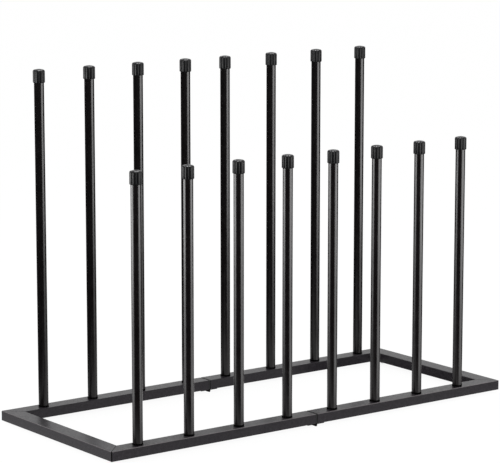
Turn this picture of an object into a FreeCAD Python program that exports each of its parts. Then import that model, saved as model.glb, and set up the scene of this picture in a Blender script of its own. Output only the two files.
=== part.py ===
import FreeCAD, Part
import os
import Sketcher

# Boot rack: a rectangular base of mitred box tube in two halves, hinged in the middle, that
# carries a front row of short poles and a rear row of tall ones. Millimetres, +X along the
# rack, +Y to the rear, +Z up. The origin is on the floor under the middle of the base.

SIZES = {
    # Base
    "half_length": 392.5,        # middle of the rack to the outer face of an end rail
    "base_width": 320,           # outer face of the front rail to that of the rear rail
    "rail_width": 28,
    "rail_height": 16,
    "rail_wall": 1.2,
    "rail_corner": 1.0,          # radius along the tube's outer edges
    "mitre_groove": 0.7,         # from a corner of the base to the edge of the groove down it
    "mitre_groove_depth": 0.9,
    # Moulded plugs that close the tubes where the two halves meet
    "seam_gap": 0.3,
    "plug_flange": 1.5,
    "plug_inset": 0.4,           # the flange stands back this far from the tube's outside
    "plug_depth": 6,
    "plug_wall": 1.6,
    "plug_clearance": 0.1,
    # Poles: evenly spaced between the two end margins of their rail
    "front_left_end": 57,
    "front_left_seam": 49,
    "front_right_end": 82,
    "front_right_seam": 42,
    "rear_left_end": 71,
    "rear_left_seam": 38,
    "rear_right_end": 59,
    "rear_right_seam": 43,
    "pole_diameter": 16,
    "pole_wall": 1.0,
    "front_pole_length": 417,
    "rear_pole_length": 543,
    # Fluted caps on the poles
    "cap_diameter": 18.6,
    "cap_height": 20,
    "cap_roof": 3,
    "cap_chamfer": 1.2,
    "cap_clearance": 0.05,
    "flute_radius": 3,
    "flute_depth": 0.7,
    # Threaded inserts in the pole ends, and the bolts that hold them down
    "insert_flange": 1.5,
    "insert_depth": 20,
    "insert_clearance": 0.05,
    "bolt_diameter": 6,
    "bolt_length": 20,
    "bolt_head_flats": 10,
    "bolt_head_height": 4,
    "thread_clearance": 0.05,
    "bolt_hole_clearance": 0.3,
    "access_hole": 15,           # lets a socket reach a bolt head inside the rail
    # Butt hinges under the seam
    "leaf_length": 16.5,         # hinge axis to the end of the leaf
    "leaf_width": 25,
    "leaf_thickness": 1.2,
    "pin_diameter": 2.1,
    "pin_clearance": 0.05,
    "pin_stand_out": 0.5,
    "knuckle_gap": 0.3,
    "knuckle_clearance": 0.35,
    "screw_offset": 10.5,        # hinge axis to the screws
    "screw_spacing": 13,
    "screw_diameter": 3,
    "screw_length": 6,
    "screw_head_diameter": 5.2,
    "screw_head_height": 0.75,
    "screw_clearance": 0.05,
    # Feet under the end rails
    "foot_diameter": 8,
    "foot_height": 5,
    "foot_chamfer": 0.8,
    "foot_inset": 30,
    "peg_diameter": 5,
    "peg_length": 5,
    "peg_clearance": 0.05,
}

POLES_PER_RAIL = 4
FLUTES = 8
KNUCKLES = 5
LEFT, RIGHT = -1, 1
FRONT, REAR = -1, 1
SIDE_NAME = {LEFT: "left", RIGHT: "right"}
ROW_NAME = {FRONT: "front", REAR: "rear"}
START, END, CENTRE = range(1, 4)        # point numbers that sketch constraints use
V_AXIS, H_AXIS = range(-2, 0)           # a sketch's own axes
SKETCH_ORIGIN = (H_AXIS, START)

doc = FreeCAD.newDocument("boot_rack")
sheet = doc.addObject("Spreadsheet::Sheet", "sizes")
for line, (alias, number) in enumerate(SIZES.items(), start=1):
    sheet.set(f"A{line}", alias)
    sheet.set(f"B{line}", str(number))
    sheet.setAlias(f"B{line}", alias)
doc.recompute()


class Cells:
    """Cells().name is the expression that reads the sheet's cell of that name."""

    def __getattr__(self, alias):
        if alias not in SIZES:
            raise AttributeError(alias)
        return f"sizes.{alias}"


c = Cells()

# Sizes worked out from the sheet, each as one expression
KNUCKLE_RADIUS = f"({c.pin_diameter} / 2 + {c.pin_clearance} + {c.leaf_thickness})"
CAVITY_HALF_WIDTH = f"({c.rail_width} / 2 - {c.rail_wall})"
TUBE_START = f"({c.seam_gap} / 2 + {c.plug_flange})"
RAIL_TOP = f"({c.foot_height} + {c.rail_height})"
POLE_BOTTOM = f"({RAIL_TOP} + {c.insert_flange})"
ROW_OFFSET = f"(({c.base_width} - {c.rail_width}) / 2)"
POLE_LENGTH = {FRONT: c.front_pole_length, REAR: c.rear_pole_length}

sub_parts = []


def signed(sign, expression):
    """The expression, or its negative written so that pin() can read the sign."""
    return expression if sign > 0 else f"-({expression})"


def pole_margins(row, side):
    """From the outer face of the end rail, and from the seam, to the nearest pole of a rail."""
    return [getattr(c, f"{ROW_NAME[row]}_{SIDE_NAME[side]}_{place}") for place in ("end", "seam")]


def pole_run(row, side):
    """Distance from the first pole of a rail to its last."""
    end, seam = pole_margins(row, side)
    return f"({c.half_length} - {end} - {seam})"


def pole_offset(row, side, place):
    """Distance from the middle of the rack to pole number place, counted from the seam."""
    end, seam = pole_margins(row, side)
    return f"({seam} + {place} * {pole_run(row, side)} / {POLES_PER_RAIL - 1})"


# Bodies, sketches and features

def new_body(label, x="0", y="0", z="0", turn=0):
    """A body placed at the expressions x, y, z and turned about Z; each is one sub-part."""
    body = doc.addObject("PartDesign::Body", label)
    body.Label = label
    body.AllowCompound = True
    body.Placement.Rotation = FreeCAD.Rotation(FreeCAD.Vector(0, 0, 1), turn)
    for axis, expression in zip("xyz", (x, y, z)):
        body.setExpression(f"Placement.Base.{axis}", expression)
    sub_parts.append(body)
    return body


def origin_feature(body, role):
    return next(item for item in body.Origin.OriginFeatures if item.Role == role)


def new_sketch(body, plane, offset="0"):
    """A sketch on one of the body's own origin planes, moved along its normal by offset."""
    sketch = body.newObject("Sketcher::SketchObject", f"{body.Label}_sketch")
    sketch.AttachmentSupport = [(origin_feature(body, plane), "")]
    sketch.MapMode = "FlatFace"
    sketch.setExpression("AttachmentOffset.Base.z", offset)
    return sketch


def bind(sketch, kind, references, expression, start):
    """Adds a dimension whose value follows an expression."""
    index = sketch.addConstraint(Sketcher.Constraint(kind, *references, start))
    sketch.setExpression(f"Constraints[{index}]", expression)


def pin(sketch, geometry, point, x, y, start):
    """Holds a point at the expressions x and y; start is where it stands before that."""
    for kind, expression, value, axis in (("DistanceX", x, start[0], V_AXIS),
                                          ("DistanceY", y, start[1], H_AXIS)):
        if expression == "0":
            sketch.addConstraint(Sketcher.Constraint("PointOnObject", geometry, point, axis))
        elif expression.startswith("-"):
            bind(sketch, kind, (geometry, point, *SKETCH_ORIGIN), expression[1:], value)
        else:
            bind(sketch, kind, (*SKETCH_ORIGIN, geometry, point), expression, value)


def side_of(expression):
    return -1 if expression.startswith("-") else 1


def add_circle(sketch, x, y, radius):
    """A circle with its centre at the expressions x and y."""
    at = FreeCAD.Vector(side_of(x), side_of(y), 0)
    index = sketch.addGeometry(Part.Circle(at, FreeCAD.Vector(0, 0, 1), 1))
    pin(sketch, index, CENTRE, x, y, (1, 1))
    bind(sketch, "Radius", (index,), radius, 1)


def add_outline(sketch, corners):
    """A closed outline of straight lines through corners, each a pair of expressions."""
    steps = range(1, len(corners) + 1)
    starts = [FreeCAD.Vector(side_of(x) * step, side_of(y) * (step % 2 + 1), 0)
              for step, (x, y) in zip(steps, corners)]
    lines = [sketch.addGeometry(Part.LineSegment(a, b))
             for a, b in zip(starts, starts[1:] + starts[:1])]
    for line, following, (x, y), at in zip(lines, lines[1:] + lines[:1], corners, starts):
        sketch.addConstraint(Sketcher.Constraint("Coincident", line, END, following, START))
        pin(sketch, line, START, x, y, (abs(at.x), abs(at.y)))


def add_rectangle(sketch, x_range, y_range):
    (x_low, x_high), (y_low, y_high) = x_range, y_range
    add_outline(sketch, [(x_low, y_low), (x_high, y_low), (x_high, y_high), (x_low, y_high)])


def centred(size):
    """The range of a size that is split evenly about the origin."""
    return f"-({size} / 2)", f"{size} / 2"


def extrude(body, kind, sketch, length, reverse=False):
    """A pad or pocket of the sketch; pads follow the sketch's normal, pockets go against it."""
    feature = body.newObject(f"PartDesign::{kind}", f"{body.Label}_{kind.lower()}")
    feature.Profile = sketch
    feature.setExpression("Length", length)
    feature.Reversed = reverse
    return feature


def pad(body, sketch, length, reverse=False):
    return extrude(body, "Pad", sketch, length, reverse)


def pocket(body, sketch, length, reverse=False):
    """A pocket, recomputed at once and refused if it takes nothing away."""
    before = body.Tip
    feature = extrude(body, "Pocket", sketch, length, reverse)
    doc.recompute()
    if not feature.Shape.Volume < before.Shape.Volume:
        raise RuntimeError(f"a pocket of {body.Label} cuts nothing")
    return feature


def dress_edges(body, kind, size_name, size, chosen):
    """A fillet or chamfer on those edges of the body for which chosen(edge) is true."""
    doc.recompute()
    base = body.Tip
    names = [f"Edge{number}" for number, edge in enumerate(base.Shape.Edges, start=1)
             if chosen(edge)]
    feature = body.newObject(f"PartDesign::{kind}", f"{body.Label}_{kind.lower()}")
    feature.Base = (base, names)
    feature.setExpression(size_name, size)


def runs_along_x(edge):
    return round(edge.tangentAt(edge.FirstParameter).x) != 0


def lies_above(edge):
    return edge.BoundBox.ZMin > 0


def lies_below(edge):
    return edge.BoundBox.ZMax < 0


# The base

def make_tube(body, start, length):
    """Box tube along the body's X axis, standing on its XY plane."""
    section = new_sketch(body, "YZ_Plane", start)
    add_rectangle(section, centred(c.rail_width), ("0", c.rail_height))
    pad(body, section, length)
    dress_edges(body, "Fillet", "Radius", c.rail_corner, runs_along_x)
    cavity = new_sketch(body, "YZ_Plane", start)
    add_rectangle(cavity, (f"-{CAVITY_HALF_WIDTH}", CAVITY_HALF_WIDTH),
                  (c.rail_wall, f"{c.rail_height} - {c.rail_wall}"))
    pocket(body, cavity, length, reverse=True)


def cut_mitre(body, end, outer, half_turn=1):
    """Cuts a 45 degree mitre at the distance end along X; outer is the side left longest.

    The tip is bevelled, so that two mitred rails leave a V-groove down the corner of the base.
    """
    sketch = new_sketch(body, "XY_Plane", c.rail_height)
    half = f"{c.rail_width} / 2"
    add_outline(sketch, [
        (signed(half_turn, f"{end} - {c.mitre_groove}"), signed(outer, half)),
        (signed(half_turn, f"{end} - {c.mitre_groove_depth}"),
         signed(outer, f"({half} - {c.mitre_groove_depth})")),
        (signed(half_turn, f"{end} - {c.rail_width}"), signed(-outer, half)),
        (signed(half_turn, f"{end} - {c.rail_width}"), signed(-outer, c.rail_width)),
        (signed(half_turn, f"{end} + {c.rail_width}"), signed(-outer, c.rail_width)),
        (signed(half_turn, f"{end} + {c.rail_width}"), signed(outer, half)),
    ])
    pocket(body, sketch, c.rail_height)


def drill_wall(body, places, diameter, top):
    """Round holes through the top or the bottom wall of a rail, at pairs of expressions."""
    sketch = new_sketch(body, "XY_Plane", c.rail_height if top else "0")
    for x, y in places:
        add_circle(sketch, x, y, f"({diameter}) / 2")
    pocket(body, sketch, f"2 * {c.rail_wall}", reverse=not top)


def hinge_screw_places():
    return [(c.screw_offset, y) for y in centred(c.screw_spacing)]


def make_long_rail(row, side):
    """Front or rear rail of one half: square and plugged at the seam, mitred at the corner."""
    body = new_body(f"{SIDE_NAME[side]}_{ROW_NAME[row]}_rail", y=signed(row, ROW_OFFSET),
                    z=c.foot_height, turn=0 if side == RIGHT else 180)
    make_tube(body, TUBE_START, f"{c.half_length} - {TUBE_START}")
    cut_mitre(body, c.half_length, outer=row * side)
    places = [(pole_offset(row, side, place), "0") for place in range(POLES_PER_RAIL)]
    drill_wall(body, places, f"{c.bolt_diameter} + 2 * {c.bolt_hole_clearance}", top=True)
    drill_wall(body, places, c.access_hole, top=False)
    drill_wall(body, hinge_screw_places(),
               f"{c.screw_diameter} + 2 * {c.screw_clearance}", top=False)


def make_end_rail(side):
    """End rail of one half, mitred at both ends; the body's -Y side is the rack's outside."""
    body = new_body(f"{SIDE_NAME[side]}_end_rail",
                    x=signed(side, f"{c.half_length} - {c.rail_width} / 2"),
                    z=c.foot_height, turn=90 * side)
    half_width = f"{c.base_width} / 2"
    make_tube(body, f"-({half_width})", c.base_width)
    for half_turn in (-1, 1):
        cut_mitre(body, half_width, outer=-1, half_turn=half_turn)
    places = [(signed(half_turn, f"{half_width} - {c.foot_inset}"), "0")
              for half_turn in (-1, 1)]
    drill_wall(body, places, f"{c.peg_diameter} + 2 * {c.peg_clearance}", top=False)


def make_seam_plug(row, side):
    """Hollow moulded plug with a flange that covers the tube's end at the seam."""
    body = new_body(f"{SIDE_NAME[side]}_{ROW_NAME[row]}_plug", y=signed(row, ROW_OFFSET),
                    z=c.foot_height, turn=0 if side == RIGHT else 180)
    flange = new_sketch(body, "YZ_Plane", f"{c.seam_gap} / 2")
    add_rectangle(flange, centred(f"({c.rail_width} - 2 * {c.plug_inset})"),
                  (c.plug_inset, f"{c.rail_height} - {c.plug_inset}"))
    pad(body, flange, c.plug_flange)
    shell = f"{c.rail_wall} + {c.plug_clearance}"
    for extrusion, inset in ((pad, shell), (pocket, f"{shell} + {c.plug_wall}")):
        walls = new_sketch(body, "YZ_Plane", TUBE_START)
        add_rectangle(walls, centred(f"({c.rail_width} - 2 * ({inset}))"),
                      (inset, f"{c.rail_height} - ({inset})"))
        extrusion(body, walls, c.plug_depth, reverse=extrusion is pocket)


# Poles and what holds them

def make_pole(row, side, place, number):
    """Round tube that stands on the flange of its threaded insert."""
    body = new_body(f"pole_{ROW_NAME[row]}_{number}",
                    x=signed(side, pole_offset(row, side, place)),
                    y=signed(row, ROW_OFFSET), z=POLE_BOTTOM)
    section = new_sketch(body, "XY_Plane")
    add_circle(section, "0", "0", f"{c.pole_diameter} / 2")
    add_circle(section, "0", "0", f"{c.pole_diameter} / 2 - {c.pole_wall}")
    pad(body, section, POLE_LENGTH[row])


def make_caps(row, side):
    """Fluted caps of one rail, pushed over its poles; the XY plane is the poles' top ends."""
    body = new_body(f"{SIDE_NAME[side]}_{ROW_NAME[row]}_caps",
                    x=signed(side, pole_offset(row, side, 0)), y=signed(row, ROW_OFFSET),
                    z=f"{POLE_BOTTOM} + {POLE_LENGTH[row]}", turn=0 if side == RIGHT else 180)
    skirt = f"({c.cap_height} - {c.cap_roof})"
    outside = new_sketch(body, "XY_Plane", f"-{skirt}")
    add_circle(outside, "0", "0", f"{c.cap_diameter} / 2")
    pad(body, outside, c.cap_height)
    dress_edges(body, "Chamfer", "Size", c.cap_chamfer, lies_above)
    bore = new_sketch(body, "XY_Plane", f"-{skirt}")
    add_circle(bore, "0", "0", f"{c.pole_diameter} / 2 + {c.cap_clearance}")
    pocket(body, bore, skirt, reverse=True)
    flute = new_sketch(body, "XY_Plane", c.cap_roof)
    half_step = 180 / FLUTES
    reach = f"({c.cap_diameter} / 2 - {c.flute_depth} + {c.flute_radius})"
    add_circle(flute, f"{reach} * cos({half_step} deg)", f"{reach} * sin({half_step} deg)",
               c.flute_radius)
    groove = pocket(body, flute, c.cap_height)
    flutes = body.newObject("PartDesign::PolarPattern", f"{body.Label}_flutes")
    flutes.Originals = [groove]
    flutes.Axis = (origin_feature(body, "Z_Axis"), [""])
    flutes.Angle = 360
    flutes.Occurrences = FLUTES
    body.Tip = flutes
    doc.recompute()
    caps = body.newObject("PartDesign::LinearPattern", f"{body.Label}_row")
    caps.TransformMode = "Whole shape"
    caps.Direction = (origin_feature(body, "X_Axis"), [""])
    caps.setExpression("Length", pole_run(row, side))
    caps.Occurrences = POLES_PER_RAIL
    body.Tip = caps


def pole_places(side):
    """Where the poles of one half stand, as pairs of expressions."""
    return [(signed(side, pole_offset(row, side, place)), signed(row, ROW_OFFSET))
            for row in (FRONT, REAR) for place in range(POLES_PER_RAIL)]


def make_inserts(side):
    """Threaded inserts of one half: a flange under each pole and a shank inside it."""
    body = new_body(f"{SIDE_NAME[side]}_pole_inserts", z=RAIL_TOP)
    shank_radius = f"{c.pole_diameter} / 2 - {c.pole_wall} - {c.insert_clearance}"
    for radius, length in ((f"{c.pole_diameter} / 2", c.insert_flange),
                           (shank_radius, f"{c.insert_flange} + {c.insert_depth}")):
        sketch = new_sketch(body, "XY_Plane")
        for x, y in pole_places(side):
            add_circle(sketch, x, y, radius)
        pad(body, sketch, length)
    thread = new_sketch(body, "XY_Plane")
    for x, y in pole_places(side):
        add_circle(thread, x, y, f"{c.bolt_diameter} / 2 + {c.thread_clearance}")
    pocket(body, thread, f"{c.insert_flange} + {c.insert_depth}", reverse=True)


def add_hexagon(sketch, x, y, flats):
    """A hexagon about the expressions x and y, with two of its flats facing along Y."""
    half = f"{flats} / 2"
    corner = f"{flats} / sqrt(3)"
    steps = ((1, 0), (0.5, 1), (-0.5, 1), (-1, 0), (-0.5, -1), (0.5, -1))
    corners = [(signed(side_of(x), f"{x.lstrip('-')} + {along} * {corner}"),
                signed(side_of(y), f"{y.lstrip('-')} + {across} * {half}"))
               for along, across in steps]
    add_outline(sketch, corners)


def make_bolts(side):
    """Hexagon bolts of one half, heads up against the inside of the rails' top walls."""
    body = new_body(f"{SIDE_NAME[side]}_pole_bolts", z=f"{RAIL_TOP} - {c.rail_wall}")
    heads = new_sketch(body, "XY_Plane")
    shanks = new_sketch(body, "XY_Plane", f"-{c.bolt_head_height}")
    for x, y in pole_places(side):
        add_hexagon(heads, x, y, c.bolt_head_flats)
        add_circle(shanks, x, y, f"{c.bolt_diameter} / 2")
    pad(body, heads, c.bolt_head_height, reverse=True)
    pad(body, shanks, f"{c.bolt_head_height} + {c.bolt_length}")


# The hinges

def knuckle_edge(number, shift):
    """Place along the hinge axis of the boundary below knuckle number, moved by half a gap."""
    steps = number - KNUCKLES / 2
    inner = f"{abs(steps)} * {c.leaf_width} / {KNUCKLES}"
    return signed(steps, f"{inner} + {shift * (1 if steps > 0 else -1)} * {c.knuckle_gap} / 2")


def make_leaf(row, side):
    """Hinge leaf under one rail: a plate rolled into knuckles about the hinge axis."""
    body = new_body(f"hinge_{ROW_NAME[row]}_{SIDE_NAME[side]}_leaf",
                    y=signed(row, ROW_OFFSET), z=c.foot_height,
                    turn=0 if side == RIGHT else 180)
    start = f"-({c.leaf_width} / 2)"
    plate = new_sketch(body, "XY_Plane")
    add_rectangle(plate, ("0", c.leaf_length), centred(c.leaf_width))
    pad(body, plate, c.leaf_thickness, reverse=True)
    barrel = new_sketch(body, "XZ_Plane", start)
    add_circle(barrel, "0", f"-{KNUCKLE_RADIUS}", KNUCKLE_RADIUS)
    pad(body, barrel, c.leaf_width)
    bore = new_sketch(body, "XZ_Plane", start)
    add_circle(bore, "0", f"-{KNUCKLE_RADIUS}", f"{c.pin_diameter} / 2 + {c.pin_clearance}")
    pocket(body, bore, c.leaf_width, reverse=True)
    notches = new_sketch(body, "XY_Plane")
    reach = f"{KNUCKLE_RADIUS} + {c.knuckle_clearance}"
    first = 1 if side == LEFT else 0
    for number in range(first, KNUCKLES, 2):
        add_rectangle(notches, (f"-({reach})", reach),
                      (knuckle_edge(number, -1), knuckle_edge(number + 1, 1)))
    pocket(body, notches, f"2 * {KNUCKLE_RADIUS} + {c.knuckle_clearance}")
    holes = new_sketch(body, "XY_Plane")
    for x, y in hinge_screw_places():
        add_circle(holes, x, y, f"{c.screw_diameter} / 2 + {c.screw_clearance}")
    pocket(body, holes, c.leaf_thickness)


def make_hinge_pin(row):
    """Pin through the knuckles of both leaves, a little longer than the hinge is wide."""
    body = new_body(f"hinge_{ROW_NAME[row]}_pin", y=signed(row, ROW_OFFSET),
                    z=f"{c.foot_height} - {KNUCKLE_RADIUS}")
    section = new_sketch(body, "XZ_Plane", f"-({c.leaf_width} / 2 + {c.pin_stand_out})")
    add_circle(section, "0", "0", f"{c.pin_diameter} / 2")
    pad(body, section, f"{c.leaf_width} + 2 * {c.pin_stand_out}")


def make_hinge_screws(side):
    """Screws of one half, up through the leaves into the bottom walls of the rails."""
    body = new_body(f"{SIDE_NAME[side]}_hinge_screws",
                    z=f"{c.foot_height} - {c.leaf_thickness}")
    places = [(signed(side, c.screw_offset),
               signed(row, f"{ROW_OFFSET} + {step} * {c.screw_spacing} / 2"))
              for row in (FRONT, REAR) for step in (-1, 1)]
    shanks = new_sketch(body, "XY_Plane", f"-{c.screw_head_height}")
    heads = new_sketch(body, "XY_Plane")
    for x, y in places:
        add_circle(shanks, x, y, f"{c.screw_diameter} / 2")
        add_circle(heads, x, y, f"{c.screw_head_diameter} / 2")
    pad(body, heads, c.screw_head_height, reverse=True)
    pad(body, shanks, f"{c.screw_head_height} + {c.screw_length}")


# The feet

def make_feet(side):
    """Round feet under an end rail, each held by a peg in the rail's bottom wall."""
    body = new_body(f"{SIDE_NAME[side]}_feet",
                    x=signed(side, f"{c.half_length} - {c.rail_width} / 2"), z=c.foot_height)
    discs = new_sketch(body, "XY_Plane")
    pegs = new_sketch(body, "XY_Plane")
    for row in (FRONT, REAR):
        y = signed(row, f"({c.base_width} / 2 - {c.foot_inset})")
        add_circle(discs, "0", y, f"{c.foot_diameter} / 2")
        add_circle(pegs, "0", y, f"{c.peg_diameter} / 2")
    pad(body, discs, c.foot_height, reverse=True)
    dress_edges(body, "Chamfer", "Size", c.foot_chamfer, lies_below)
    pad(body, pegs, c.peg_length)


for side in (LEFT, RIGHT):
    make_end_rail(side)
    make_inserts(side)
    make_bolts(side)
    make_hinge_screws(side)
    make_feet(side)
    for row in (FRONT, REAR):
        make_long_rail(row, side)
        make_seam_plug(row, side)
        make_leaf(row, side)
        make_caps(row, side)
        for place in range(POLES_PER_RAIL):
            # Poles are numbered from the rack's left end to its right end
            number = POLES_PER_RAIL - place if side == LEFT else POLES_PER_RAIL + 1 + place
            make_pole(row, side, place, number)
for row in (FRONT, REAR):
    make_hinge_pin(row)

doc.recompute()
for item in doc.Objects:
    if "Invalid" in item.State or "Error" in item.State:
        raise RuntimeError(f"{item.Label} failed: {item.State}")
os.makedirs("parts", exist_ok=True)
for body in sub_parts:
    if body.Shape.isNull() or not body.Shape.isValid():
        raise RuntimeError(f"{body.Label} has no valid shape")
    body.Shape.exportStep(os.path.join("parts", f"{body.Label}.step"))
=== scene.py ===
import math

import bmesh
import bpy
from mathutils import Matrix, Vector


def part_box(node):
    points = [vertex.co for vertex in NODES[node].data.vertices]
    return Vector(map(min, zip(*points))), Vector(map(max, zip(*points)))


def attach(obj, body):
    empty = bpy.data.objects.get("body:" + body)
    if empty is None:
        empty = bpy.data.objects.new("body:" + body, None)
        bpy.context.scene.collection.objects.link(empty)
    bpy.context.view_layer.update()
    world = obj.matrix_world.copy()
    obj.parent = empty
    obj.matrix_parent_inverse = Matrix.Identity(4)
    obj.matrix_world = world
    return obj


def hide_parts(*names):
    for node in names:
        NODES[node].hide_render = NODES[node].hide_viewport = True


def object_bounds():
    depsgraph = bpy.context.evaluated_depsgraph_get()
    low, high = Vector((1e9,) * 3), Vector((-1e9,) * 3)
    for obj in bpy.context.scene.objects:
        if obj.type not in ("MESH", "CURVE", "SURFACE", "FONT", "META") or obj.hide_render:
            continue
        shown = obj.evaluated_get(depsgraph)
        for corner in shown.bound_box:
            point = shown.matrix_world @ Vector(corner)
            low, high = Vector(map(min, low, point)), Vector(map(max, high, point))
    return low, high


# Boot rack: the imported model's rails, poles, plugs and hinges with procedural finishes, and caps,
# inserts, feet and fasteners modelled in detail on the places of their solids. Metres.

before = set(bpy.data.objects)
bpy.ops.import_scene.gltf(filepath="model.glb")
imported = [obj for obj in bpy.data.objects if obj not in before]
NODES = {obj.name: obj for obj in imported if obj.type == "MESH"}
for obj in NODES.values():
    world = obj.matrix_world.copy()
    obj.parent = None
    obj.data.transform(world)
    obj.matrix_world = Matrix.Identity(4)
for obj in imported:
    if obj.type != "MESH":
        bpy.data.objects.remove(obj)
CAD_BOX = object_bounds()
MM = 0.001

HALVES = ("left", "right")
ROWS = ("front", "rear")
POLES = {"left": range(1, 5), "right": range(5, 9)}

# Camera: focal length and place found from the edges of the base and the poles in the photograph
PHOTO_WIDTH = 500
FOCAL_PIXELS = 2424.2
SENSOR = 36.0
CAMERA_PLACE = Vector((-2.33826, -3.11515, 0.96382))
YAW, PITCH, ROLL = math.radians(36.730), math.radians(9.747), math.radians(0.008)
CLIP_START, CLIP_END = 0.05, 60.0

# Light: in reflections the floor is a white sweep round the rack with painted shade on it inside
# the base's right end, and the studio beyond it is dark up to the horizon
SWEEP_REACH = 0.28
# Painted shade on the floor inside the base's right end, seen only in reflections: its reach, edge
# and side
SHADE_PATCH_REACH, SHADE_PATCH_EDGE, SHADE_PATCH_SIDE = 0.15, 0.03, 0.003
DARK_STUDIO = 0.06
HORIZON = 0.03
FLOOR_REACH, FLOOR_LEVEL = 12.0, -0.2 * MM
FLOOR_GLOW = 0.90
FLOOR_WHITE = 1.034
FLOOR_COLOUR = 0.90
WORLD_FILL = 0.75

# Upright softboxes, all of one height; those that stand low are seen in reflections through the
# floor. The one overhead only gives the caps their glints.
PANEL_HEIGHT = 0.6
LEVEL, LOW = 0.0, -0.6
RIGHT_TURN, RIGHT_DISTANCE, RIGHT_WIDTH = 70, 1.5, 1.45
LEFT_TURN, LEFT_DISTANCE, LEFT_WIDTH = -81, 1.6, 1.5
OVER_WIDTH, OVER_DEPTH, OVER_RADIANCE, OVER_BOTTOM = 1.2, 0.9, 36.0, 1.5


# Small helpers

def link(obj):
    bpy.context.scene.collection.objects.link(obj)
    return obj


def new_material(name):
    """A node material, with its node tree, its shader and a function that adds nodes."""
    material = bpy.data.materials.new(name)
    material.use_nodes = True
    tree = material.node_tree
    shader = tree.nodes["Principled BSDF"]

    def add(kind, **inputs):
        node = tree.nodes.new(kind)
        for socket, value in inputs.items():
            node.inputs[socket.replace("_", " ")].default_value = value
        return node

    return material, tree, shader, add


def math_node(tree, operation, *values):
    """A Math node on sockets or numbers."""
    node = tree.nodes.new("ShaderNodeMath")
    node.operation = operation
    for socket, value in zip(node.inputs, values):
        if isinstance(value, (int, float)):
            socket.default_value = value
        else:
            tree.links.new(value, socket)
    return node.outputs[0]


def map_range(tree, value, start, end, at_start, at_end, curve="LINEAR"):
    """A Map Range node on a socket."""
    node = tree.nodes.new("ShaderNodeMapRange")
    node.interpolation_type = curve
    for name, number in (("From Min", start), ("From Max", end),
                         ("To Min", at_start), ("To Max", at_end)):
        node.inputs[name].default_value = number
    tree.links.new(value, node.inputs["Value"])
    return node.outputs["Result"]


def paint(name, material):
    """Gives a CAD node its finish."""
    slots = NODES[name].data.materials
    slots.clear()
    slots.append(material)


# Finishes

GRAIN_SHARE, MOTTLE_SHARE = 0.6, 0.4
TONE_START, TONE_END = 0.3, 0.7
MOTTLE_START, MOTTLE_END = 0.25, 0.75
PEEL_SCALE = 420.0
PEEL_STRENGTH, GRAIN_STRENGTH = 0.4, 0.5


def rest_point(add):
    """The surface point in the frame at rest, in metres: it rides with the piece."""
    return add("ShaderNodeTexCoord").outputs["Object"]


def colour_ramp(add, low, high):
    ramp = add("ShaderNodeValToRGB")
    for element, place, colour in zip(ramp.color_ramp.elements, (TONE_START, TONE_END),
                                      (low, high)):
        element.position = place
        element.color = (*colour, 1.0)
    return ramp


def coat(name, dark, light, roughness, specular, grain, grain_depth, peel_depth,
         mottle_scale=55.0, unevenness=0.05):
    """Fine grain over soft orange peel, slightly uneven in colour and gloss. Depths are in
    millimetres."""
    material, tree, shader, add = new_material(name)
    wire = tree.links.new
    point = rest_point(add)
    shader.inputs["Specular IOR Level"].default_value = specular
    mottle = add("ShaderNodeTexNoise", Scale=mottle_scale, Detail=4.0, Roughness=0.6)
    wire(point, mottle.inputs["Vector"])
    fine = add("ShaderNodeTexNoise", Scale=grain, Detail=2.0, Roughness=0.7)
    wire(point, fine.inputs["Vector"])
    cloudy = math_node(tree, "MULTIPLY", mottle.outputs["Fac"], MOTTLE_SHARE)
    tone = colour_ramp(add, dark, light)
    wire(math_node(tree, "MULTIPLY_ADD", fine.outputs["Fac"], GRAIN_SHARE, cloudy),
         tone.inputs["Fac"])
    wire(tone.outputs["Color"], shader.inputs["Base Color"])
    wire(map_range(tree, mottle.outputs["Fac"], MOTTLE_START, MOTTLE_END, roughness - unevenness,
                   roughness + unevenness), shader.inputs["Roughness"])
    peel = add("ShaderNodeTexNoise", Scale=PEEL_SCALE, Detail=1.0)
    wire(point, peel.inputs["Vector"])
    soft = add("ShaderNodeBump", Strength=PEEL_STRENGTH, Distance=peel_depth * MM)
    wire(peel.outputs["Fac"], soft.inputs["Height"])
    sharp = add("ShaderNodeBump", Strength=GRAIN_STRENGTH, Distance=grain_depth * MM)
    wire(fine.outputs["Fac"], sharp.inputs["Height"])
    wire(soft.outputs["Normal"], sharp.inputs["Normal"])
    wire(sharp.outputs["Normal"], shader.inputs["Normal"])
    return material


RAIL_COAT = coat("rail_powder_coat", (0.0068, 0.0055, 0.0074), (0.0410, 0.0362, 0.0430),
                 roughness=0.35, specular=0.22, grain=2600.0, grain_depth=0.05, peel_depth=0.12,
                 mottle_scale=260.0, unevenness=0.07)
POLE_COAT = coat("pole_satin_coat", (0.0013, 0.0008, 0.0009), (0.0034, 0.0022, 0.0025),
                 roughness=0.22, specular=0.3, grain=3200.0, grain_depth=0.0015, peel_depth=0.002)
CAP_PLASTIC = coat("cap_plastic", (0.0012, 0.0012, 0.0014), (0.005, 0.005, 0.0054),
                   roughness=0.38, specular=0.12, grain=1600.0, grain_depth=0.03, peel_depth=0.04)
PLUG_PLASTIC = coat("plug_plastic", (0.008, 0.008, 0.009), (0.016, 0.016, 0.017),
                    roughness=0.5, specular=0.4, grain=2200.0, grain_depth=0.04, peel_depth=0.04)
INSERT_PLASTIC = coat("insert_plastic", (0.0006, 0.0006, 0.0006), (0.002, 0.002, 0.002),
                      roughness=0.7, specular=0.03, grain=2200.0, grain_depth=0.04,
                      peel_depth=0.04)
HINGE_COAT = coat("hinge_coat", (0.0015, 0.0015, 0.0015), (0.005, 0.005, 0.005),
                  roughness=0.45, specular=0.04, grain=2600.0, grain_depth=0.03, peel_depth=0.05)
FOOT_RUBBER = coat("foot_rubber", (0.74, 0.74, 0.73), (0.82, 0.82, 0.81),
                   roughness=0.6, specular=0.3, grain=1800.0, grain_depth=0.08, peel_depth=0.05)
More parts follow.
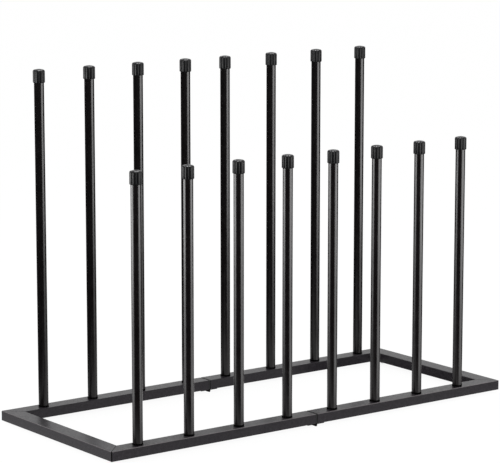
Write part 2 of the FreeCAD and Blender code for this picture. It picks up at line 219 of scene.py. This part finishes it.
ZINC = coat("zinc_plate", (0.30, 0.30, 0.31), (0.46, 0.46, 0.47),
            roughness=0.35, specular=0.5, grain=1500.0, grain_depth=0.02, peel_depth=0.02)
ZINC.node_tree.nodes["Principled BSDF"].inputs["Metallic"].default_value = 1.0

# Marks on the coats: how far each reaches from its edge, and where it is full
CAP_TOP_ROUGHNESS = 0.2
TOP_START, TOP_END = 0.3, 0.9
# Painted highlight along the rails' outer top edges: how far it reaches in, and where it is full
EDGE_HIGHLIGHT_REACH, EDGE_HIGHLIGHT_FULL = 1.1 * MM, 0.44 * MM
CORNER_SHADE, CORNER_DARK = 1.5 * MM, 0.9 * MM
MITRE_SHADE, MITRE_DARK, MITRE_STRENGTH = 0.9 * MM, 0.4 * MM, 0.8
SEAM_SHADE, SEAM_DARK = 0.6 * MM, 0.15 * MM
# Colour of the painted highlight along the rails' outer top edges
EDGE_HIGHLIGHT_COAT = (0.17, 0.155, 0.162)
SHADED_COAT = (0.0005, 0.0005, 0.0005)
SHADED_ROUGHNESS = 1.0


def blend_input(tree, socket, mask, value):
    """Changes what feeds a shader's socket to a plain colour or number where the mask is one."""
    colour = isinstance(value, tuple)
    blend = tree.nodes.new("ShaderNodeMix")
    blend.data_type = "RGBA" if colour else "FLOAT"
    first, second = blend.inputs[6:8] if colour else blend.inputs[2:4]
    tree.links.new(mask, blend.inputs["Factor"])
    tree.links.new(socket.links[0].from_socket, first)
    second.default_value = (*value, 1) if colour else value
    tree.links.new(blend.outputs[2 if colour else 0], socket)


def smooth_top(material, roughness):
    """Less rough where the surface faces up, as the cap's top left the mould."""
    tree = material.node_tree
    wire = tree.links.new
    place = tree.nodes.new("ShaderNodeSeparateXYZ")
    wire(tree.nodes.new("ShaderNodeTexCoord").outputs["Normal"], place.inputs[0])
    upwards = map_range(tree, place.outputs["Z"], TOP_START, TOP_END, 0, 1)
    blend_input(tree, tree.nodes["Principled BSDF"].inputs["Roughness"], upwards, roughness)


def mark_rails(material):
    """Painted highlight: coat painted lighter along the base's outer top edges; and dark in the
    grooves of its mitred corners and where the tubes end at the seam."""
    tree = material.node_tree
    place = tree.nodes.new("ShaderNodeSeparateXYZ")
    tree.links.new(rest_point(tree.nodes.new), place.inputs[0])
    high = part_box("right_end_rail")[1]
    across = math_node(tree, "ABSOLUTE", place.outputs["X"], 0)
    out_x = math_node(tree, "SUBTRACT", across, high.x)
    out_y = math_node(tree, "SUBTRACT", math_node(tree, "ABSOLUTE", place.outputs["Y"], 0), high.y)
    out_z = math_node(tree, "SUBTRACT", place.outputs["Z"], high.z)
    side = map_range(tree, math_node(tree, "MAXIMUM", out_x, out_y), -EDGE_HIGHLIGHT_REACH, -EDGE_HIGHLIGHT_FULL, 0, 1)
    upper = map_range(tree, out_z, -EDGE_HIGHLIGHT_REACH, -EDGE_HIGHLIGHT_FULL, 0, 1)
    corner = map_range(tree, math_node(tree, "MINIMUM", out_x, out_y), -CORNER_SHADE, -CORNER_DARK,
                       0, 1)
    off_mitre = math_node(tree, "ABSOLUTE", math_node(tree, "SUBTRACT", out_x, out_y), 0)
    mitre = map_range(tree, off_mitre, MITRE_DARK, MITRE_SHADE, MITRE_STRENGTH, 0)
    tube_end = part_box("right_front_rail")[0].x
    seam = map_range(tree, across, tube_end + SEAM_DARK, tube_end + SEAM_SHADE, 1, 0)
    shaded = math_node(tree, "MAXIMUM", math_node(tree, "MAXIMUM", corner, seam), mitre)
    shader = tree.nodes["Principled BSDF"]
    # Painted highlight: lighter coat along the outer top edges
    blend_input(tree, shader.inputs["Base Color"], math_node(tree, "MULTIPLY", side, upper),
                EDGE_HIGHLIGHT_COAT)
    blend_input(tree, shader.inputs["Base Color"], shaded, SHADED_COAT)
    blend_input(tree, shader.inputs["Roughness"], shaded, SHADED_ROUGHNESS)


smooth_top(CAP_PLASTIC, CAP_TOP_ROUGHNESS)
mark_rails(RAIL_COAT)

for half in HALVES:
    paint(f"{half}_end_rail", RAIL_COAT)
    for row in ROWS:
        paint(f"{half}_{row}_rail", RAIL_COAT)
        paint(f"{half}_{row}_plug", PLUG_PLASTIC)
        paint(f"hinge_{row}_{half}_leaf", HINGE_COAT)
        for number in POLES[half]:
            paint(f"pole_{row}_{number}", POLE_COAT)
for row in ROWS:
    paint(f"hinge_{row}_pin", HINGE_COAT)


# Moulded and turned pieces that stand for plain solids

WELD = 0.01 * MM


def solids(name):
    """The boxes of a CAD node's separate solids, as pairs of their lowest and highest corners."""
    node = NODES[name]
    mesh = bmesh.new()
    mesh.from_mesh(node.data)
    mesh.transform(node.matrix_world)
    bmesh.ops.remove_doubles(mesh, verts=mesh.verts, dist=WELD)
    boxes = []
    left = set(mesh.verts)
    while left:
        front = [left.pop()]
        points = []
        while front:
            vertex = front.pop()
            points.append(vertex.co.copy())
            near = {edge.other_vert(vertex) for edge in vertex.link_edges} & left
            left -= near
            front.extend(near)
        boxes.append([Vector([pick(point[axis] for point in points) for axis in range(3)])
                      for pick in (min, max)])
    mesh.free()
    return sorted(boxes, key=lambda box: tuple(box[0]))


def middle(low, high):
    """The upright axis of a box, where it meets the floor."""
    return Vector(((low.x + high.x) / 2, (low.y + high.y) / 2, 0))


def turned(mesh, profile, sides, place, outline=None):
    """Adds a closed solid to a bmesh: profile, pairs of radius and height, turned about Z at
    place. It runs from one end of the axis to the other, or all round the wall of a bored piece.
    outline(angle, step) is the share of the radius that is left at that angle of profile point
    number step."""
    rings = []
    for step, (radius, height) in enumerate(profile):
        count = sides if radius > 0 else 1
        ring = []
        for number in range(count):
            angle = 2 * math.pi * number / sides
            reach = radius * (outline(angle, step) if outline and radius > 0 else 1)
            ring.append(mesh.verts.new(place + Vector((reach * math.cos(angle),
                                                       reach * math.sin(angle), height))))
        rings.append(ring)
    if profile[0][0] > 0:
        rings.append(rings[0])
    for below, above in zip(rings, rings[1:]):
        for number in range(sides):
            after = (number + 1) % sides
            corners = [below[number % len(below)], below[after % len(below)],
                       above[after % len(above)], above[number % len(above)]]
            mesh.faces.new(dict.fromkeys(corners))


def finish_piece(name, mesh, material, body, nodes):
    """Makes an object of a bmesh that rides on a body and stands for CAD nodes."""
    bmesh.ops.recalc_face_normals(mesh, faces=mesh.faces)
    data = bpy.data.meshes.new(name)
    mesh.to_mesh(data)
    mesh.free()
    data.shade_smooth()
    data.materials.append(material)
    piece = link(bpy.data.objects.new(name, data))
    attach(piece, body)
    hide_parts(*nodes)


# Caps: a fluted skirt with a rounded rim, slightly domed on top, and a bore for the pole

CAP_FLUTES = 8
SIDES_PER_FLUTE = 14
FLUTE_RADIUS, FLUTE_DEPTH = 3.0 * MM, 0.7 * MM
CAP_RIM = 3.0 * MM
CAP_FOOT = 1.2 * MM
CAP_FLARE = 0.35 * MM
CAP_OVERLAP = 2.0 * MM
CAP_THINNEST = 0.2 * MM
CAP_ROOF = 3.0 * MM
CAP_DOME = 1.0 * MM
DOME_RINGS = (0.7, 0.35, 0)
GROOVE_SOFTNESS = 0.12 * MM
ROUND_STEPS = 5


def fluted(radius, angle):
    """Radius of the skirt's outside: a circle with round grooves, softly blended into it."""
    pitch = 2 * math.pi / CAP_FLUTES
    off_groove = (angle % pitch) - pitch / 2
    centre = radius - FLUTE_DEPTH + FLUTE_RADIUS
    across = centre * math.sin(off_groove)
    if abs(across) >= FLUTE_RADIUS:
        return radius
    groove = centre * math.cos(off_groove) - math.sqrt(FLUTE_RADIUS ** 2 - across ** 2)
    return -GROOVE_SOFTNESS * math.log(math.exp(-radius / GROOVE_SOFTNESS)
                                       + math.exp(-groove / GROOVE_SOFTNESS))


def quarter_round(radius, height, size, upwards):
    """Profile points of a rounded edge that ends at height: from the side up to the top, or from
    the foot up to the side."""
    points = []
    for step in range(ROUND_STEPS + 1):
        angle = math.pi / 2 * (step if upwards else ROUND_STEPS - step) / ROUND_STEPS
        rise = size * (1 - math.sin(angle))
        points.append((radius - size * (1 - math.cos(angle)),
                       height - rise if upwards else height + rise))
    return points


def make_caps(half, row):
    places = solids(f"{half}_{row}_caps")
    low, high = places[0]
    foot, top = low.z - CAP_OVERLAP, high.z
    radius = (high.y - low.y) / 2 + CAP_FLARE
    pole_low, pole_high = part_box(f"pole_{row}_1")
    bore = (pole_high.x - pole_low.x) / 2
    outside = (quarter_round(radius, foot, CAP_FOOT, upwards=False)
               + quarter_round(radius, top - CAP_DOME, CAP_RIM, upwards=True))
    inside = [(0, top - CAP_ROOF), (bore, top - CAP_ROOF), (bore, foot)]
    dome = [(share * (radius - CAP_RIM), top - CAP_DOME * share ** 2) for share in DOME_RINGS]
    profile = inside + outside + dome
    skirt = range(len(inside), len(inside) + len(outside))

    def outline(angle, step):
        reach, height = profile[step]
        if step not in skirt:
            return 1
        least = bore + CAP_THINNEST if height < top - CAP_ROOF else 0
        return max(reach - radius + fluted(radius, angle), least) / reach

    mesh = bmesh.new()
    for box in places:
        turned(mesh, profile, CAP_FLUTES * SIDES_PER_FLUTE, middle(*box), outline)
    finish_piece(f"{half}_{row}_fluted_caps", mesh, CAP_PLASTIC,
                 f"{half}_half", [f"{half}_{row}_caps"])


# Inserts: a flange under the pole with a low collar round its foot, and a tapered, bored shank

COLLAR_WALL, COLLAR_RISE = 0.45 * MM, 0.9 * MM
COLLAR_EDGE = 0.1 * MM
LIP_HEIGHT, LIP_IN, LIP_DOWN = 0.3 * MM, 0.15 * MM, 0.08 * MM
INSERT_BORE = 3.2 * MM
SHANK_RADIUS = 6.95 * MM
TAPER_HEIGHT, TAPER = 2.0 * MM, 0.5 * MM
INSERT_SIDES = 64


def make_inserts(half):
    mesh = bmesh.new()
    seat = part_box("pole_front_1")[0].z
    rim = seat + COLLAR_RISE
    for low, high in solids(f"{half}_pole_inserts"):
        pole = (high.x - low.x) / 2
        collar = pole + COLLAR_WALL
        profile = [(INSERT_BORE, low.z), (collar - COLLAR_EDGE, low.z),
                   (collar, low.z + COLLAR_EDGE), (collar, rim - LIP_HEIGHT),
                   (collar - LIP_IN, rim - LIP_DOWN), (pole + COLLAR_EDGE, rim), (pole, rim),
                   (pole, seat), (SHANK_RADIUS, seat), (SHANK_RADIUS, high.z - TAPER_HEIGHT),
                   (SHANK_RADIUS - TAPER, high.z), (INSERT_BORE, high.z)]
        turned(mesh, profile, INSERT_SIDES, middle(low, high))
    finish_piece(f"{half}_collar_inserts", mesh, INSERT_PLASTIC,
                 f"{half}_half", [f"{half}_pole_inserts"])


# Feet: soft bumpers with a rounded tread, a waist under the rail and a peg with a tapered end

FOOT_ROUND = 1.0 * MM
FOOT_WAIST, WAIST_FOOT, WAIST_TOP, FOOT_RIM = 0.25 * MM, 1.6 * MM, 0.5 * MM, 0.3 * MM
PEG_RADIUS = 2.5 * MM
PEG_TAPER_HEIGHT, PEG_TAPER = 0.8 * MM, 0.6 * MM
FOOT_SIDES = 48


def make_feet(half):
    mesh = bmesh.new()
    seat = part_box(f"{half}_end_rail")[0].z
    for low, high in solids(f"{half}_feet"):
        radius = (high.x - low.x) / 2
        waist = radius - FOOT_WAIST
        profile = [(0, low.z), *quarter_round(radius, low.z, FOOT_ROUND, upwards=False),
                   (waist, seat - WAIST_FOOT), (waist, seat - WAIST_TOP),
                   (radius, seat - FOOT_RIM), (radius, seat), (PEG_RADIUS, seat),
                   (PEG_RADIUS, high.z - PEG_TAPER_HEIGHT), (PEG_RADIUS - PEG_TAPER, high.z),
                   (0, high.z)]
        turned(mesh, profile, FOOT_SIDES, middle(low, high))
    finish_piece(f"{half}_round_feet", mesh, FOOT_RUBBER, f"{half}_half",
                 [f"{half}_feet"])


# Hinge screws: domed heads with a cross recess, and a rolled thread

SCREW_SIDES = 48
SCREW_SHANK, SCREW_CORE = 1.5 * MM, 1.2 * MM
THREAD_PITCH = 0.75 * MM
HEAD_HEIGHT = 0.75 * MM
HEAD_CURVE = ((0.75, 0.04 * MM), (0.92, 0.16 * MM), (1, 0.42 * MM))
RECESS, RECESS_ARM, RECESS_DEPTH = 1.45 * MM, 0.38 * MM, 0.45 * MM
RECESS_STEPS = (1, 2)


def cross(angle):
    """Share of the recess's reach up to which it is open at this angle: four arms."""
    slant = min(angle % (math.pi / 2), math.pi / 2 - angle % (math.pi / 2))
    side = RECESS_ARM / RECESS / max(math.sin(slant), 0.001)
    return min(1 / math.cos(slant), side)


def make_screws(half):
    mesh = bmesh.new()
    for low, high in solids(f"{half}_hinge_screws"):
        head = (high.x - low.x) / 2
        foot, seat = low.z, low.z + HEAD_HEIGHT
        profile = [(0, foot + RECESS_DEPTH), (RECESS, foot + RECESS_DEPTH), (RECESS, foot),
                   *((share * head, foot + rise) for share, rise in HEAD_CURVE),
                   (head, seat), (SCREW_CORE, seat)]
        crests = int((high.z - seat) / THREAD_PITCH - 0.5)
        for crest in range(crests):
            at = seat + (crest + 0.5) * THREAD_PITCH
            profile += [(SCREW_SHANK, at), (SCREW_CORE, at + THREAD_PITCH / 2)]
        profile.append((0, high.z))

        def outline(angle, step):
            return cross(angle) if step in RECESS_STEPS else 1

        turned(mesh, profile, SCREW_SIDES, middle(low, high), outline)
    finish_piece(f"{half}_cross_screws", mesh, HINGE_COAT, f"{half}_half",
                 [f"{half}_hinge_screws"])


# Bolts in the rails: hexagon heads with a dished top, chamfered corners and a washer face, and a
# pointed end. Widths are shares of half the head's width across flats.

BOLT_SIDES = 48
BOLT_HEAD, BOLT_SHANK = 4.0 * MM, 3.0 * MM
DISH_WIDTH, DISH_EDGE, DISH_DEPTH = 0.66, 0.72, 0.3 * MM
CHAMFER_WIDTH, CHAMFER_HEIGHT = 0.94, 0.5 * MM
WASHER_WIDTH, WASHER_HEIGHT = 0.92, 0.35 * MM
BOLT_POINT = 0.6 * MM
HEXAGON_STEPS = (4, 5)


def make_bolts(half):
    mesh = bmesh.new()
    for low, high in solids(f"{half}_pole_bolts"):
        across_x, across_y = high.x - low.x, high.y - low.y
        flats = min(across_x, across_y) / 2
        turn = 0 if across_x > across_y else math.pi / 6
        foot, seat = low.z, low.z + BOLT_HEAD
        washer = WASHER_WIDTH * flats
        profile = [(0, foot + DISH_DEPTH), (DISH_WIDTH * flats, foot + DISH_DEPTH),
                   (DISH_EDGE * flats, foot), (CHAMFER_WIDTH * flats, foot),
                   (flats, foot + CHAMFER_HEIGHT), (flats, seat - WASHER_HEIGHT),
                   (washer, seat - WASHER_HEIGHT), (washer, seat), (BOLT_SHANK, seat),
                   (BOLT_SHANK, high.z - BOLT_POINT), (BOLT_SHANK - BOLT_POINT, high.z),
                   (0, high.z)]

        def outline(angle, step):
            off_flat = (angle - turn) % (math.pi / 3) - math.pi / 6
            return 1 / math.cos(off_flat) if step in HEXAGON_STEPS else 1

        turned(mesh, profile, BOLT_SIDES, middle(low, high), outline)
    finish_piece(f"{half}_hexagon_bolts", mesh, ZINC, f"{half}_half",
                 [f"{half}_pole_bolts"])


for half in HALVES:
    make_inserts(half)
    make_feet(half)
    make_screws(half)
    make_bolts(half)
    for row in ROWS:
        make_caps(half, row)


# Floor, backdrop and light

def ray_kinds(tree):
    """Sockets that are one for a ray seen directly or through glass, and for a reflected one."""
    path = tree.nodes.new("ShaderNodeLightPath")
    direct = math_node(tree, "MAXIMUM", path.outputs["Is Camera Ray"],
                       path.outputs["Is Transmission Ray"])
    return direct, path.outputs["Is Glossy Ray"]


def beyond_sweep(tree):
    """Zero beside the rack, rising to one at the reach of the sweep."""
    wire = tree.links.new
    away = tree.nodes.new("ShaderNodeVectorMath")
    away.operation = "ABSOLUTE"
    wire(tree.nodes.new("ShaderNodeTexCoord").outputs["Object"], away.inputs[0])
    outside = tree.nodes.new("ShaderNodeVectorMath")
    outside.operation = "SUBTRACT"
    outside.inputs[1].default_value = CAD_BOX[1]
    wire(away.outputs[0], outside.inputs[0])
    beyond = tree.nodes.new("ShaderNodeVectorMath")
    beyond.operation = "MAXIMUM"
    wire(outside.outputs[0], beyond.inputs[0])
    distance = tree.nodes.new("ShaderNodeVectorMath")
    distance.operation = "LENGTH"
    wire(beyond.outputs[0], distance.inputs[0])
    return map_range(tree, distance.outputs["Value"], 0.0, SWEEP_REACH, 0.0, 1.0, "SMOOTHSTEP")


def floor_shade_patch(tree):
    """One on a patch of painted shade on the floor inside the base along its right end, where that
    end reflects it.
    """
    place = tree.nodes.new("ShaderNodeSeparateXYZ")
    tree.links.new(tree.nodes.new("ShaderNodeTexCoord").outputs["Object"], place.inputs[0])
    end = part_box("right_end_rail")[0].x
    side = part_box("right_rear_rail")[0].y
    right = map_range(tree, place.outputs["X"], end - SHADE_PATCH_REACH, end - SHADE_PATCH_REACH + SHADE_PATCH_EDGE,
                      0.0, 1.0)
    inside = map_range(tree, place.outputs["X"], end, end + SHADE_PATCH_SIDE, 1.0, 0.0)
    between = map_range(tree, math_node(tree, "ABSOLUTE", place.outputs["Y"], 0),
                        side, side + SHADE_PATCH_SIDE, 1.0, 0.0)
    return math_node(tree, "MULTIPLY", math_node(tree, "MULTIPLY", right, inside), between)


def make_floor():
    """A wide pale floor that shows white and keeps a soft shadow of the rack. Reflections see
    it as far as the sweep goes, and a patch of painted shade on it."""
    mesh = bpy.data.meshes.new("floor")
    mesh.from_pydata([(x * FLOOR_REACH, y * FLOOR_REACH, FLOOR_LEVEL) for x, y in
                      ((-1, -1), (1, -1), (1, 1), (-1, 1))], [], [(0, 1, 2, 3)])
    floor = link(bpy.data.objects.new("floor", mesh))
    floor.visible_shadow = False
    material, tree, shader, add = new_material("pale_floor")
    wire = tree.links.new
    shader.inputs["Base Color"].default_value = (FLOOR_COLOUR, FLOOR_COLOUR, FLOOR_COLOUR, 1)
    shader.inputs["Roughness"].default_value = 0.9
    shader.inputs["Specular IOR Level"].default_value = 0.0
    direct, reflected = ray_kinds(tree)
    glow = add("ShaderNodeEmission", Strength=FLOOR_WHITE)
    white = add("ShaderNodeMixShader")
    wire(math_node(tree, "MULTIPLY", math_node(tree, "MAXIMUM", direct, reflected), FLOOR_GLOW),
         white.inputs[0])
    wire(shader.outputs[0], white.inputs[1])
    wire(glow.outputs[0], white.inputs[2])
    cut = add("ShaderNodeMixShader")
    # Reflections see through the floor beyond the sweep, and on the patch of painted shade inside
    # the right end
    dark = math_node(tree, "MAXIMUM", beyond_sweep(tree), floor_shade_patch(tree))
    wire(math_node(tree, "MULTIPLY", reflected, dark), cut.inputs[0])
    wire(white.outputs[0], cut.inputs[1])
    wire(add("ShaderNodeBsdfTransparent").outputs[0], cut.inputs[2])
    wire(cut.outputs[0], tree.nodes["Material Output"].inputs["Surface"])
    mesh.materials.append(material)


def make_world():
    """White all round to the camera, dark below the horizon in reflections, an even fill."""
    world = bpy.data.worlds.new("studio")
    bpy.context.scene.world = world
    world.use_nodes = True
    tree = world.node_tree
    wire = tree.links.new
    height = tree.nodes.new("ShaderNodeSeparateXYZ")
    wire(tree.nodes.new("ShaderNodeTexCoord").outputs["Generated"], height.inputs[0])
    studio = map_range(tree, height.outputs["Z"], -HORIZON, HORIZON, DARK_STUDIO, 1.0)
    direct, reflected = ray_kinds(tree)
    strength = WORLD_FILL
    for kind, seen in ((reflected, studio), (direct, 1.0)):
        blend = tree.nodes.new("ShaderNodeMix")
        wire(kind, blend.inputs["Factor"])
        for socket, value in zip(blend.inputs[2:4], (strength, seen)):
            if isinstance(value, float):
                socket.default_value = value
            else:
                wire(value, socket)
        strength = blend.outputs["Result"]
    wire(strength, tree.nodes["Background"].inputs["Strength"])
    tree.nodes["Background"].inputs["Color"].default_value = (1.0, 1.0, 1.0, 1.0)


def softbox(name, turn, distance, width, height, radiance, bottom):
    """An upright panel light; turn is its direction in degrees to the right of the camera's."""
    lamp = bpy.data.lights.new(name, "AREA")
    lamp.shape = "RECTANGLE"
    lamp.size, lamp.size_y = width, height
    lamp.energy = radiance * math.pi * width * height
    panel = link(bpy.data.objects.new(name, lamp))
    towards = Vector((-math.sin(YAW), -math.cos(YAW), 0))
    towards.rotate(Matrix.Rotation(math.radians(turn), 3, "Z"))
    panel.location = towards * distance + Vector((0, 0, bottom + height / 2))
    panel.rotation_euler = towards.to_track_quat("Z", "Y").to_euler()
    panel.visible_camera = False
    return panel


def flag_off(panel, names):
    """Keeps a lamp's light off these objects, as a flag beside it does in a studio."""
    shaded = bpy.data.collections.new(f"{panel.name}_flagged")
    for name in names:
        shaded.objects.link(bpy.data.objects[name])
    for member in shaded.collection_objects:
        member.light_linking.link_state = "EXCLUDE"
    panel.light_linking.receiver_collection = shaded


def make_camera():
    data = bpy.data.cameras.new("camera")
    data.sensor_width = SENSOR
    data.lens = FOCAL_PIXELS / PHOTO_WIDTH * SENSOR
    data.clip_start, data.clip_end = CLIP_START, CLIP_END
    camera = link(bpy.data.objects.new("camera", data))
    camera.matrix_world = (Matrix.Translation(CAMERA_PLACE) @ Matrix.Rotation(-YAW, 4, "Z")
                           @ Matrix.Rotation(math.pi / 2 - PITCH, 4, "X")
                           @ Matrix.Rotation(ROLL, 4, "Z"))
    bpy.context.scene.camera = camera


make_floor()
make_world()
make_camera()

# Each lamp with the pieces that are flagged off it
FRONT_POLES, REAR_POLES = ([NODES[f"pole_{row}_{number}"].name for half in HALVES
                            for number in POLES[half]] for row in ROWS)
CAPS = [f"{half}_{row}_fluted_caps" for half in HALVES for row in ROWS]
RAILS = [NODES[f"{half}_{side}_rail"].name for half in HALVES for side in ("end", *ROWS)]
DARK_FITTINGS = [f"{half}_{kind}" for half in HALVES for kind in ("collar_inserts", "cross_screws")]
DARK_FITTINGS += [NODES[name].name for row in ROWS for name in (
    f"left_{row}_plug", f"right_{row}_plug", f"hinge_{row}_left_leaf", f"hinge_{row}_right_leaf",
    f"hinge_{row}_pin")]
PALE_FITTINGS = [f"{half}_{kind}" for half in HALVES for kind in ("hexagon_bolts", "round_feet")]
RIGHT = (RIGHT_TURN, RIGHT_DISTANCE, RIGHT_WIDTH)
LEFT = (LEFT_TURN, LEFT_DISTANCE, LEFT_WIDTH)
for name, place, bottom, radiance, unlit in (
        ("right", RIGHT, LEVEL, 8.3, RAILS),
        ("right_low", RIGHT, LOW, 3.9, RAILS + REAR_POLES + CAPS),
        ("right_low_rear", RIGHT, LOW, 1.8, RAILS + FRONT_POLES + CAPS),
        ("left", LEFT, LEVEL, 10.3, RAILS + REAR_POLES),
        ("left_low", LEFT, LOW, 3.2, RAILS + REAR_POLES + CAPS)):
    lamp = softbox(f"{name}_softbox", *place, PANEL_HEIGHT, radiance, bottom)
    flag_off(lamp, DARK_FITTINGS + unlit)
over = softbox("over_softbox", 0, 0, OVER_WIDTH, OVER_DEPTH, OVER_RADIANCE, OVER_BOTTOM)
over.rotation_euler = (0, 0, 0)
flag_off(over, DARK_FITTINGS + PALE_FITTINGS + RAILS + FRONT_POLES + REAR_POLES + ["floor"])
bpy.context.scene.view_settings.view_transform = "Standard"
